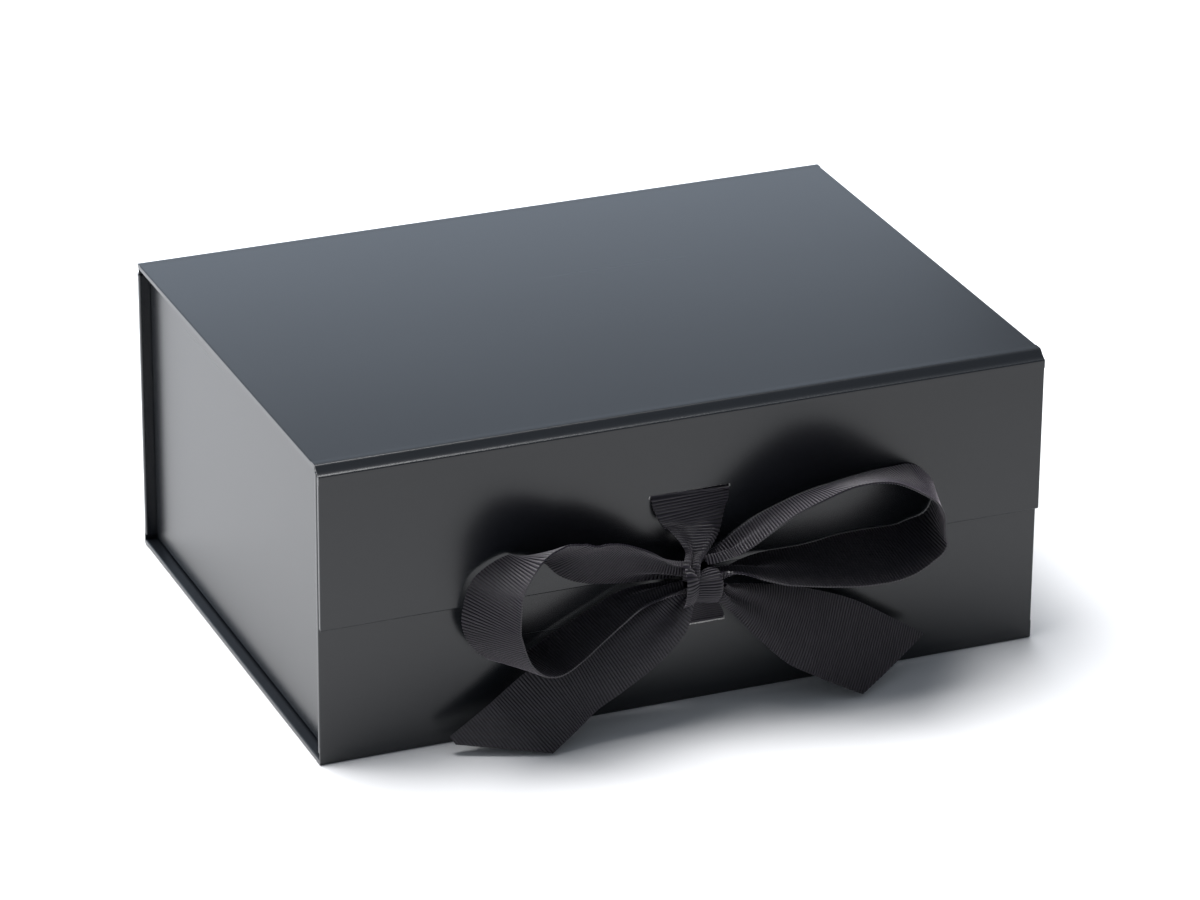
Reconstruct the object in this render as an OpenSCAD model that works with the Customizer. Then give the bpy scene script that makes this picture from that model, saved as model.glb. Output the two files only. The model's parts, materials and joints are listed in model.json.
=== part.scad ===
// Fold-flat rigid gift box: a tray of hinged, paper-covered boards with a lid, a magnetic
// closing flap and a ribbon bow tied on the flap.
// Millimetres, +Z up, front towards -Y. The origin is the centre of the base's underside.

/* [Box] */
// Width of the base, lid, rear wall, front wall and flap
box_w = 233; // [180:1:300]
// Depth of the tray, from the front wall's outer face to the rear wall's
box_d = 165; // [120:1:220]
// Height of the closed box
box_h = 97; // [80:1:140]
// How far the side walls stand in from the ends of the other panels
side_inset = 3.5; // [3:0.5:8]

/* [Panels] */
// Thickness of one covered panel: board and paper on both faces
panel_t = 1.8; // [1.6:0.1:2.5]
// Thickness of the covering and lining paper
paper_t = 0.15; // [0.1:0.01:0.2]
// Free paper between two boards at a fold, beside the panel's thickness
groove_h = 1.8; // [1.5:0.1:3]
// Free paper between the lid's underside and the flap's upper edge
flap_groove_h = 0.8; // [0.6:0.1:1.8]
// How far the lid stands back from the flap's outer face
lid_back = 3.2; // [0.8:0.1:3.4]
// Margin of covering paper turned in around each lining sheet
turn_in = 3; // [2:0.5:6]
// Height of the closing flap's lower edge above the table
flap_low = 45; // [40:1:60]
// Gap between panels that move past each other
gap = 0.3; // [0.2:0.05:0.5]

/* [Side tabs] */
// Width of a side wall's glue tab
tab_w = 15; // [10:1:20]
// Thickness of a glue tab
tab_t = 0.6; // [0.4:0.1:0.8]
// Thickness of the adhesive strip on a tab
tape_t = 0.2; // [0.1:0.05:0.3]

/* [Magnets] */
// Diameter of a disc magnet
magnet_d = 10; // [8:1:12]
// Thickness of a disc magnet
magnet_t = 1; // [0.8:0.1:1.1]
// Distance of each magnet from the middle of the box
magnet_x = 88; // [60:1:100]
// Height of the magnets
magnet_z = 57; // [56:1:62]

/* [Ribbon] */
// Width of the ribbon
ribbon_w = 25; // [20:1:30]
// Thickness of the ribbon
ribbon_t = 0.4; // [0.3:0.05:0.6]
// Sideways place of the ribbon slits
slit_x = 0; // [-10:1:10]
// Height of the slit in the flap
flap_slit_z = 70.5; // [66:0.5:80]
// Height of the slit in the front wall
wall_slit_z = 26; // [22:0.5:32]

/* [Hidden] */

// Colours
wrap_colour = [0.16, 0.17, 0.18];
liner_colour = [0.12, 0.12, 0.13];
board_colour = [0.55, 0.53, 0.5];
ribbon_colour = [0.07, 0.065, 0.07];
steel_colour = [0.75, 0.75, 0.77];
tape_colour = [0.85, 0.84, 0.8];

// Two bonded papers in a fold
fold_t = 2 * paper_t;
// Free paper of a fold, from the corner edge to the next board
fold_h = panel_t + groove_h;
// A fold that moves turns on a thin roll of paper along the corner edge
roll_r = 0.25;
roll_z = box_h - roll_r;
// Room between the lid's rear end and the paper that stands over it
end_gap = 0.5;
// Faces of the tray's walls
half_w = box_w / 2;
half_d = box_d / 2;
wall_in_y = half_d - panel_t;
side_out_x = half_w - side_inset;
side_in_x = side_out_x - panel_t;
// The flap hangs in front of the front wall
flap_in_y = -half_d - gap;
flap_out_y = flap_in_y - panel_t;
// Levels
lid_low = box_h - panel_t;
rim_z = lid_low - gap;
hinge_z = box_h - fold_h;
flap_top_z = lid_low - flap_groove_h;
// The side walls turn on lines above the floor, with room under them for the folded tabs
wall_axis_z = 3.3;
wall_axis_x = side_in_x - roll_r;
wall_roll_r = 0.2;
wall_low = panel_t + 2 * gap;
wall_end_y = wall_in_y - gap;
strip_w = 12;
tab_face_y = wall_in_y - 0.1 - tape_t;
tape_margin = 3;
slit_h = 0.8;
slit_play = 0.5;
anchor_l = 20;
pocket_play = 0.1;
$fn = 48;

// A box between two corners
module block(low, high) {
    translate(low)
        cube(high - low);
}

// The board of a panel lies inside its paper on every side
module board(low, high) {
    color(board_colour)
        block([for (v = low) v + paper_t], [for (v = high) v - paper_t]);
}

// The lining sheet of a panel: on its low or high face along one axis, inside the turned-in paper
function liner_low(low, high, axis, at_low) =
    [for (i = [0:2]) i != axis ? low[i] + turn_in : at_low ? low[i] : high[i] - paper_t];
function liner_high(low, high, axis, at_low) =
    [for (i = [0:2]) i != axis ? high[i] - turn_in : at_low ? low[i] + paper_t : high[i]];

module liner(low, high, axis, at_low) {
    color(liner_colour)
        block(liner_low(low, high, axis, at_low), liner_high(low, high, axis, at_low));
}

// The covering paper of a panel: its outer face, its edges and the turned-in margin
module wrap(low, high, axis, at_low) {
    color(wrap_colour)
        difference() {
            block(low, high);
            board(low, high);
            liner(low, high, axis, at_low);
        }
}

// Corners of each panel
base_low = [-half_w, -half_d + fold_t, 0];
base_high = [half_w, half_d - fold_t, panel_t];
rear_low = [-half_w, wall_in_y, fold_h];
rear_high = [half_w, half_d, hinge_z];
front_low = [-half_w, -half_d, fold_h];
front_high = [half_w, -wall_in_y, rim_z];
lid_corner_low = [-half_w, flap_out_y + lid_back, lid_low];
lid_corner_high = [half_w, half_d - fold_t - end_gap, box_h];
flap_corner_low = [-half_w, flap_out_y, flap_low];
flap_corner_high = [half_w, flap_in_y, flap_top_z];
side_low = [side_in_x, -wall_end_y, wall_low];
side_high = [side_out_x, wall_end_y, rim_z];

// A slit right through a wall for the ribbon
module slit(z, y_low, y_high) {
    half = (ribbon_w + slit_play) / 2;
    block([slit_x - half, y_low, z - slit_h / 2], [slit_x + half, y_high, z + slit_h / 2]);
}

// A shallow bed in a board's inner face for the ribbon's glued end, below its slit
module anchor_bed(z, inner_y) {
    half = (ribbon_w + slit_play) / 2;
    block([slit_x - half, inner_y - ribbon_t - paper_t - pocket_play, z - anchor_l - slit_play],
          [slit_x + half, inner_y - paper_t, z]);
}

// The glued end of a ribbon and the short stretch that passes out through the slit
module anchor(z, inner_y, outer_y) {
    half = ribbon_w / 2;
    face = inner_y - paper_t - pocket_play / 2;
    block([slit_x - half, face - ribbon_t, z - anchor_l], [slit_x + half, face, z]);
    block([slit_x - half, outer_y - ribbon_t, z - ribbon_t / 2],
          [slit_x + half, face - ribbon_t / 2, z + ribbon_t / 2]);
}

// Two disc magnets, and the blind beds that hold them
module magnet_pair(y_low, thick, diameter) {
    for (side = [-1, 1])
        translate([side * magnet_x, y_low, magnet_z])
            rotate([-90, 0, 0])
                cylinder(h = thick, d = diameter);
}

// Base
module base_board() { board(base_low, base_high); }
module base_wrap() { wrap(base_low, base_high, 2, false); }
module floor_liner() { liner(base_low, base_high, 2, false); }

// Rear wall
module rear_wall_board() { board(rear_low, rear_high); }
module rear_wall_wrap() { wrap(rear_low, rear_high, 1, true); }
module rear_wall_liner() { liner(rear_low, rear_high, 1, true); }

// Front wall: the magnets lie in beds on its outer side
wall_magnet_y = -half_d + paper_t;
module front_wall_board() {
    color(board_colour)
        difference() {
            board(front_low, front_high);
            slit(wall_slit_z, -half_d - 1, -wall_in_y + 1);
            anchor_bed(wall_slit_z + anchor_l + slit_h, -wall_in_y);
            magnet_pair(wall_magnet_y - 1, 1 + magnet_t, magnet_d + 2 * pocket_play);
        }
}
module front_wall_wrap() {
    color(wrap_colour)
        difference() {
            wrap(front_low, front_high, 1, false);
            slit(wall_slit_z, -half_d - 1, -wall_in_y + 1);
        }
}
module front_wall_liner() { liner(front_low, front_high, 1, false); }
module wall_magnets() {
    color(steel_colour)
        magnet_pair(wall_magnet_y, magnet_t, magnet_d);
}

// Paper folds: plain strips that stand over the edge of the neighbouring board
module fold_strip(y, z_low, z_high) {
    color(wrap_colour)
        block([-half_w, y, z_low], [half_w, y + fold_t, z_high]);
}
module rear_base_fold() { fold_strip(half_d - fold_t, 0, fold_h); }
module front_base_fold() { fold_strip(-half_d, 0, fold_h); }

// The folds of the lid and the flap end in a roll on the line they turn about
module turning_fold(strip_y, axis_y, z_low) {
    fold_strip(strip_y, z_low, roll_z);
    color(wrap_colour)
        translate([-half_w, axis_y, roll_z])
            rotate([0, 90, 0])
                cylinder(h = box_w, r = roll_r);
}
module lid_fold() { turning_fold(half_d - fold_t, half_d - roll_r, hinge_z); }
module flap_fold() { turning_fold(flap_out_y, flap_out_y + roll_r, flap_top_z); }

// Hinges of the side walls: a strip glued on the floor, standing up to a roll at the fold line
module wall_hinge(side) {
    half_l = wall_end_y - tab_w - 2;
    color(liner_colour)
        mirror([side < 0 ? 1 : 0, 0, 0]) {
            block([wall_axis_x - strip_w, -half_l, panel_t],
                  [wall_axis_x, half_l, panel_t + paper_t]);
            block([wall_axis_x - paper_t, -half_l, panel_t],
                  [wall_axis_x + paper_t, half_l, wall_axis_z]);
            translate([wall_axis_x, -half_l, wall_axis_z])
                rotate([-90, 0, 0])
                    cylinder(h = 2 * half_l, r = wall_roll_r);
        }
}
module left_wall_hinge() { wall_hinge(-1); }
module right_wall_hinge() { wall_hinge(1); }

// Side walls: the left one is the mirror of the right one
module mirrored(side) {
    mirror([side < 0 ? 1 : 0, 0, 0])
        children();
}
module left_wall_board() { mirrored(-1) board(side_low, side_high); }
module left_wall_wrap() { mirrored(-1) wrap(side_low, side_high, 0, true); }
module left_wall_liner() { mirrored(-1) liner(side_low, side_high, 0, true); }
module right_wall_board() { mirrored(1) board(side_low, side_high); }
module right_wall_wrap() { mirrored(1) wrap(side_low, side_high, 0, true); }
module right_wall_liner() { mirrored(1) liner(side_low, side_high, 0, true); }

// Glue tabs: their ends slope so that they clear the floor and the lid as the wall folds in
module tab_plate(margin, y_low, thick) {
    near = side_in_x - 0.1 - margin;
    far = side_in_x - tab_w + margin;
    low = wall_axis_z + margin;
    high = rim_z - gap - margin;
    slope = near - far;
    translate([0, y_low + thick, 0])
        rotate([90, 0, 0])
            linear_extrude(height = thick)
                polygon([[near, low + margin], [near, high - margin],
                         [far, high - margin - slope], [far, low + margin + slope]]);
}
module placed(side, end) {
    mirror([side < 0 ? 1 : 0, 0, 0])
        mirror([0, end < 0 ? 1 : 0, 0])
            children();
}
module tab(side, end) {
    color(wrap_colour)
        placed(side, end)
            tab_plate(0, tab_face_y - tab_t, tab_t);
}
module tape(side, end) {
    color(tape_colour)
        placed(side, end)
            tab_plate(tape_margin, tab_face_y, tape_t);
}
module left_front_tab() { tab(-1, -1); }
module left_rear_tab() { tab(-1, 1); }
module right_front_tab() { tab(1, -1); }
module right_rear_tab() { tab(1, 1); }
module left_front_tape() { tape(-1, -1); }
module left_rear_tape() { tape(-1, 1); }
module right_front_tape() { tape(1, -1); }
module right_rear_tape() { tape(1, 1); }

// Lid
module lid_board() { board(lid_corner_low, lid_corner_high); }
module lid_wrap() { wrap(lid_corner_low, lid_corner_high, 2, true); }
module lid_liner() { liner(lid_corner_low, lid_corner_high, 2, true); }

// Flap: its magnets lie in beds on its inner side and face the ones in the front wall
flap_magnet_y = flap_in_y - paper_t - magnet_t;
module flap_board() {
    color(board_colour)
        difference() {
            board(flap_corner_low, flap_corner_high);
            slit(flap_slit_z, flap_out_y - 1, flap_in_y + 1);
            anchor_bed(flap_slit_z, flap_in_y);
            magnet_pair(flap_magnet_y, magnet_t + 1, magnet_d + 2 * pocket_play);
        }
}
module flap_wrap() {
    color(wrap_colour)
        difference() {
            wrap(flap_corner_low, flap_corner_high, 1, false);
            slit(flap_slit_z, flap_out_y - 1, flap_in_y + 1);
        }
}
module flap_liner() { liner(flap_corner_low, flap_corner_high, 1, false); }
module flap_magnets() {
    color(steel_colour)
        magnet_pair(flap_magnet_y, magnet_t, magnet_d);
}

// A smooth curve through a list of points, with n steps between two of them
function ahead(p, i) = p[min(max(i, 0), len(p) - 1)];
function between(a, b, c, d, t) =
    (2 * b + (c - a) * t + (2 * a - 5 * b + 4 * c - d) * t * t
     + (3 * b - a - 3 * c + d) * t * t * t) / 2;
function smooth(p, n) =
    [for (k = [0 : n * (len(p) - 1)])
        let (i = min(floor(k / n), len(p) - 2))
        between(ahead(p, i - 1), p[i], p[i + 1], ahead(p, i + 2), k / n - i)];

// A ribbon between two edges. Points are [across, out from the flap, up].
function in_front(p) = [p[0], flap_out_y - p[1], p[2]];
function unit(v) = v / norm(v);
function band_ring(a, b, i, half) =
    let (along = ahead(a, i + 1) + ahead(b, i + 1) - ahead(a, i - 1) - ahead(b, i - 1))
    let (off = half * unit(cross(along, b[i] - a[i])))
    [a[i] + off, b[i] + off, b[i] - off, a[i] - off];
function skin_faces(rings) = [
    for (i = [0 : rings - 2]) for (k = [0:3])
        let (p = 4 * i + k)
        let (q = 4 * i + (k + 1) % 4)
        each [[p, q, q + 4], [p, q + 4, p + 4]]
];
module band(near, far, steps = 3) {
    a = [for (p = smooth(near, steps)) in_front(p)];
    b = [for (p = smooth(far, steps)) in_front(p)];
    rings = len(a);
    last = 4 * (rings - 1);
    color(ribbon_colour)
        polyhedron(
            points = [for (i = [0 : rings - 1]) each band_ring(a, b, i, ribbon_t / 2)],
            faces = concat([[3, 2, 1], [3, 1, 0]], skin_faces(rings),
                           [[last, last + 1, last + 2], [last, last + 2, last + 3]]));
}

// Ribbon ends: from the slits to the knot
knot_place = [0.5, 9, 45.5];
module upper_ribbon() {
    half = ribbon_w / 2;
    color(ribbon_colour)
        anchor(flap_slit_z, flap_in_y, flap_out_y);
    band([[slit_x - half, 0.4, flap_slit_z], [slit_x - 9.5, 3, 62], [knot_place[0] - 4, 7.5, 52]],
         [[slit_x + half, 0.4, flap_slit_z], [slit_x + 8.5, 3, 61], [knot_place[0] + 4, 7.5, 52]]);
}
module lower_ribbon() {
    half = ribbon_w / 2;
    bed_top = wall_slit_z + anchor_l + slit_h;
    color(ribbon_colour) {
        block([slit_x - half, -wall_in_y - paper_t - ribbon_t, wall_slit_z - ribbon_t / 2],
              [slit_x + half, -wall_in_y - paper_t, bed_top - slit_play]);
        block([slit_x - half, -half_d - ribbon_t, wall_slit_z - ribbon_t / 2],
              [slit_x + half, -wall_in_y - paper_t, wall_slit_z + ribbon_t / 2]);
        block([slit_x - half, -half_d - ribbon_t, wall_slit_z - ribbon_t / 2],
              [slit_x + half, -half_d, knot_place[2] - 4]);
    }
}

// Knot: a cushion of wrapped ribbon
module knot() {
    color(ribbon_colour)
        hull()
            for (x = [-3.5, 3.5], z = [-2.3, 2.3])
                translate([knot_place[0] + x, flap_out_y - knot_place[1], knot_place[2] + z])
                    sphere(r = 4, $fn = 16);
}

// Loops and tails, each between its near and its far edge
module right_loop() {
    band([[6, 12, 49.5], [12, 17, 56], [20, 19, 63], [28, 21, 68.5], [36, 23, 72.5], [44, 24, 75],
          [55.5, 24, 74], [66, 24, 68.5], [73, 24, 59], [72, 24, 48.5], [61.5, 24, 42],
          [50.5, 24, 41.5], [39.5, 23, 42.5], [28, 22, 44], [16, 18, 45.5], [6, 12, 44.5]],
         [[6, 6, 49.5], [12, 4, 55], [20, 3, 59], [29, 2, 62], [37, 2, 64.5], [46, 2, 66],
          [60, 2, 67.5], [73, 2, 68], [80, 2, 60], [78, 2, 52.5], [65, 2, 49],
          [52, 2, 49], [40, 2, 48], [28, 3, 47.5], [16, 4, 47], [6, 6, 45]]);
}
module left_loop() {
    band([[-6, 12, 50], [-17, 14, 59], [-31, 16, 66], [-44, 18, 68.5], [-53, 21, 67],
          [-59.5, 23, 61], [-63, 24, 51], [-62.5, 24, 42], [-60, 24, 34.5], [-55.5, 24, 30],
          [-50, 24, 29.5], [-42, 23.5, 33.5], [-34, 22.5, 39], [-23, 19, 44], [-6, 12, 45]],
         [[-6, 5, 47.5], [-14, 4, 48], [-26, 3, 48.5], [-37, 2, 50], [-48, 2, 57],
          [-61, 2, 60.5], [-71, 2, 52], [-73, 2, 42], [-71, 2, 34], [-65, 2, 27.5],
          [-57, 2, 27], [-45, 2, 33], [-34, 2.5, 38.5], [-22, 3, 43], [-6, 6, 44]]);
}
module left_tail() {
    band([[-4, 12, 39], [-7, 14.5, 31], [-13, 15, 25], [-25, 15.5, 17.5], [-36.5, 16, 10.5],
          [-50, 17, 1]],
         [[-7, 7, 41], [-17, 6, 39.5], [-30, 5, 37], [-43, 5, 31.5], [-55.5, 5, 22.5],
          [-79.5, 5, 4.5]]);
}
module right_tail() {
    band([[5, 11, 39], [10, 11, 33], [17, 12.5, 24.5], [26.5, 14, 15], [36, 15, 9.5], [51, 17, 2]],
         [[9, 7, 41], [16, 6, 38], [30, 5, 35.5], [44.5, 5, 32], [56, 5, 24.5], [75, 5, 11]]);
}

base_board();
base_wrap();
floor_liner();
rear_wall_board();
rear_wall_wrap();
rear_wall_liner();
front_wall_board();
front_wall_wrap();
front_wall_liner();
rear_base_fold();
front_base_fold();
lid_fold();
flap_fold();
left_wall_hinge();
right_wall_hinge();
left_wall_board();
left_wall_wrap();
left_wall_liner();
right_wall_board();
right_wall_wrap();
right_wall_liner();
left_front_tab();
left_rear_tab();
right_front_tab();
right_rear_tab();
left_front_tape();
left_rear_tape();
right_front_tape();
right_rear_tape();
lid_board();
lid_wrap();
lid_liner();
flap_board();
flap_wrap();
flap_liner();
flap_magnets();
wall_magnets();
upper_ribbon();
lower_ribbon();
knot();
left_loop();
right_loop();
left_tail();
right_tail();
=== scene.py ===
"""Looks of a fold-flat rigid gift box with a ribbon bow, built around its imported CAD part.

Everything is in metres in the CAD's frame: +X to the box's right, +Y to its rear wall, +Z up.
Small sizes are written in millimetres times MM.
"""

import json
import math

import bmesh
import bpy
import numpy as np
from mathutils import Matrix, Vector


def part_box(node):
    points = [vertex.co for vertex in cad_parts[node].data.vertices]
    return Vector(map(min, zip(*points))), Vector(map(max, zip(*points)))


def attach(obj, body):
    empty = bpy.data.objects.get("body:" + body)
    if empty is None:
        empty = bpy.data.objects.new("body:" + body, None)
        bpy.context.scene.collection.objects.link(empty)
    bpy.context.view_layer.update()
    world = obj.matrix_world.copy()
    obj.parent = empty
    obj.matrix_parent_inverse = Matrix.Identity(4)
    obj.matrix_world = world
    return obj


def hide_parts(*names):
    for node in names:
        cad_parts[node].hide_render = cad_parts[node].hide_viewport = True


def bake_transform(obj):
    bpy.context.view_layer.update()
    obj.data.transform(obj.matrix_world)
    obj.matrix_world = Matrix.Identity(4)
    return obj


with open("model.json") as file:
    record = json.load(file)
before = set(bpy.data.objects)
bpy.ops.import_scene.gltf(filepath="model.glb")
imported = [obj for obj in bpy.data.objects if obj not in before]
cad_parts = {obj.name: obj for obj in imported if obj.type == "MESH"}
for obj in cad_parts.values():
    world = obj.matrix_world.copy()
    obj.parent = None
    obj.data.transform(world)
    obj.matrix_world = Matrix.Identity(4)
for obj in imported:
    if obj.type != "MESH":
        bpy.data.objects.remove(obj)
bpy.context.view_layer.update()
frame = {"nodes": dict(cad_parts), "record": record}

MM = 0.001

# Paper and boards
PAPER_T = 0.15 * MM
EDGE_R = 0.42 * MM
LINER_PROUD = 0.1 * MM
LINER_R = 0.05 * MM
FOLD_T = 0.5 * MM
FLAP_FOLD_T = 0.3 * MM
FOLD_MARGIN = 0.02 * MM
TAB_T = 0.3 * MM
# How far in from a tab's outer face the slant of its cut corners begins
TAB_CUT = 1.2 * MM

# Slits for the ribbon, and how far the cut edge's white core stands out and reaches in
SLIT_W = 25.5 * MM
SLIT_H = 0.8 * MM
RIM_PROUD = 0.03 * MM
RIM_DEPTH = 0.2 * MM

# Ribbon
RIBBON_W = 25 * MM
RIB_PITCH = 0.9 * MM
RIB_STEPS = 6
RIB_HEIGHT = 0.24 * MM
RIB_ROUNDNESS = 0.8
RIBBON_HALF_T = 0.08 * MM
RIBBON_COLUMNS = 25
WARP_PITCH = 0.28 * MM
RIBBON_UV = "along_ribbon"
TUCK_DEPTH = 0.7 * MM
# The share of a ribbon's width over which a tucked margin reaches its depth
TUCK_REACH = 0.125

# Stretches of a curve between two given points: on a paper fold, a ribbon's edge, a row of values
FOLD_STEPS = 4
EDGE_STEPS = 24
VALUE_STEPS = 16

# Radians that Blender's wave texture turns in a metre at scale 1
WAVE_UNIT = 20

# The colour sockets of Blender's mix node
MIX_A, MIX_B, MIX_RESULT = 6, 7, 2

# Corners and faces that most places are measured from
FLAP_LOW, FLAP_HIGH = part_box("flap_wrap")
FRONT_LOW, FRONT_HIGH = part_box("front_wall_wrap")
FLAP_Y = FLAP_LOW.y
FRONT_Y = FRONT_LOW.y
REAR_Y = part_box("rear_wall_wrap")[1].y
LID_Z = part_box("lid_wrap")[1].z
BASE_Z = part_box("base_wrap")[0].z
# The right wall's inside; the left one mirrors it
WALL_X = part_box("right_wall_wrap")[0].x


# ---------------------------------------------------------------- materials


def new_material(name):
    """A material with an empty node tree apart from its shader and output."""
    material = bpy.data.materials.new(name)
    material.use_nodes = True
    nodes = material.node_tree.nodes
    nodes.clear()
    shader = nodes.new("ShaderNodeBsdfPrincipled")
    output = nodes.new("ShaderNodeOutputMaterial")
    material.node_tree.links.new(shader.outputs["BSDF"], output.inputs["Surface"])
    return material, shader


def add_node(material, kind, inputs=None, **settings):
    """A node with some of its settings and input values; an input may be another node's output."""
    node = material.node_tree.nodes.new(kind)
    for key, value in settings.items():
        setattr(node, key, value)
    for key, value in (inputs or {}).items():
        if isinstance(value, bpy.types.NodeSocket):
            material.node_tree.links.new(value, node.inputs[key])
        else:
            node.inputs[key].default_value = value
    return node


def noise(material, coordinates, scale, detail=3.0, stretch=(1, 1, 1)):
    """Noise over coordinates that are scaled by stretch first."""
    mapping = add_node(material, "ShaderNodeMapping", {"Vector": coordinates, "Scale": stretch})
    node = add_node(
        material,
        "ShaderNodeTexNoise",
        {"Vector": mapping.outputs["Vector"], "Scale": scale, "Detail": detail},
    )
    return node.outputs["Fac"]


def wave(material, coordinates, direction, period):
    """A sine wave of a given period in metres, 0 at the start of each period and 1 at its middle."""
    node = add_node(
        material,
        "ShaderNodeTexWave",
        {"Vector": coordinates, "Scale": 2 * math.pi / (WAVE_UNIT * period)},
        bands_direction=direction,
    )
    return node.outputs["Fac"]


def spread(material, value, low, high, from_low=0.3, from_high=0.7):
    """A noise value mapped onto a range."""
    node = add_node(
        material,
        "ShaderNodeMapRange",
        {"Value": value, "From Min": from_low, "From Max": from_high, "To Min": low, "To Max": high},
    )
    return node.outputs["Result"]


def add_up(material, first, second):
    """The sum of two values."""
    node = add_node(material, "ShaderNodeMath", {0: first, 1: second}, operation="ADD")
    return node.outputs["Value"]


def blend_colours(material, factor, first, second):
    """Two colours mixed by a factor; each is a colour or another node's output."""
    inputs = {"Factor": factor}
    for key, colour in ((MIX_A, first), (MIX_B, second)):
        linked = isinstance(colour, bpy.types.NodeSocket)
        inputs[key] = colour if linked else (*colour, 1)
    node = add_node(material, "ShaderNodeMix", inputs, data_type="RGBA")
    return node.outputs[MIX_RESULT]


def object_place(material):
    """The place on an object, in metres."""
    return add_node(material, "ShaderNodeTexCoord").outputs["Object"]


def add_bump(material, shader, height, distance, strength):
    """Bump on a shader from a height value."""
    bump = add_node(
        material,
        "ShaderNodeBump",
        {"Height": height, "Distance": distance, "Strength": strength},
    )
    material.node_tree.links.new(bump.outputs["Normal"], shader.inputs["Normal"])


def paper(name, tones, roughness, grain=(5, 900, 900), relief=0.012, gloss=0.5):
    """Paper with a faint tone along its grain and a relief of fine fibres.

    tones gives its darkest and lightest colour, and roughness its lowest and highest value.
    """
    material, shader = new_material(name)
    links = material.node_tree.links
    place = object_place(material)
    streaks = noise(material, place, 1.0, 2.0, grain)
    fibres = noise(material, place, 2600, 2.0)
    clouds = noise(material, place, 14, 2.0)
    tone = spread(material, add_up(material, streaks, clouds), 0, 1, 0.6, 1.4)
    links.new(blend_colours(material, tone, *tones), shader.inputs["Base Color"])
    links.new(spread(material, streaks, *roughness, 0.2, 0.8), shader.inputs["Roughness"])
    shader.inputs["Specular IOR Level"].default_value = gloss
    add_bump(material, shader, fibres, 0.05 * MM, relief)
    return material


WRAP_TONES = ((0.0045, 0.0055, 0.0075), (0.0065, 0.008, 0.0105))
WRAP_ROUGHNESS = (0.268, 0.274)
LINER_TONES = ((0.012, 0.012, 0.013), (0.02, 0.02, 0.021))

WRAP = paper("satin_paper", WRAP_TONES, WRAP_ROUGHNESS)
SIDE_WRAP = paper("satin_paper_sides", WRAP_TONES, WRAP_ROUGHNESS, (900, 5, 900), gloss=0.41)
LINER = paper("lining_paper", LINER_TONES, (0.62, 0.72), relief=0.15)


def board_material():
    """Grey board: recycled fibres with darker and lighter specks."""
    material, shader = new_material("grey_board")
    links = material.node_tree.links
    place = object_place(material)
    specks = noise(material, place, 1900, 3.0)
    layers = noise(material, place, 1.0, 2.0, (300, 300, 4000))
    tone = spread(material, add_up(material, specks, layers), 0, 1, 0.75, 1.25)
    colour = blend_colours(material, tone, (0.3, 0.29, 0.27), (0.55, 0.53, 0.5))
    links.new(colour, shader.inputs["Base Color"])
    shader.inputs["Roughness"].default_value = 0.9
    add_bump(material, shader, specks, 0.1 * MM, 0.3)
    return material


def core_material():
    """The paper's white core where it is cut."""
    material, shader = new_material("cut_paper_edge")
    links = material.node_tree.links
    place = object_place(material)
    fibres = noise(material, place, 3500, 3.0)
    tone = spread(material, fibres, 0, 1)
    colour = blend_colours(material, tone, (0.35, 0.34, 0.33), (0.75, 0.74, 0.72))
    links.new(colour, shader.inputs["Base Color"])
    shader.inputs["Roughness"].default_value = 0.85
    add_bump(material, shader, fibres, 0.08 * MM, 0.4)
    return material


def tape_material():
    """Waxed release paper on the adhesive strips."""
    material, shader = new_material("release_paper")
    links = material.node_tree.links
    place = object_place(material)
    clouds = noise(material, place, 60, 3.0)
    fibres = noise(material, place, 2200, 2.0)
    tone = spread(material, clouds, 0, 1)
    colour = blend_colours(material, tone, (0.62, 0.61, 0.56), (0.74, 0.73, 0.69))
    links.new(colour, shader.inputs["Base Color"])
    links.new(spread(material, clouds, 0.3, 0.42), shader.inputs["Roughness"])
    add_bump(material, shader, fibres, 0.05 * MM, 0.15)
    return material


def magnet_material():
    """Nickel-plated steel with fine scuffs."""
    material, shader = new_material("nickel_plate")
    links = material.node_tree.links
    place = object_place(material)
    scuffs = noise(material, place, 700, 4.0)
    tone = spread(material, scuffs, 0, 1)
    colour = blend_colours(material, tone, (0.6, 0.58, 0.55), (0.72, 0.71, 0.69))
    links.new(colour, shader.inputs["Base Color"])
    links.new(spread(material, scuffs, 0.18, 0.34), shader.inputs["Roughness"])
    shader.inputs["Metallic"].default_value = 1
    return material


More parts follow.
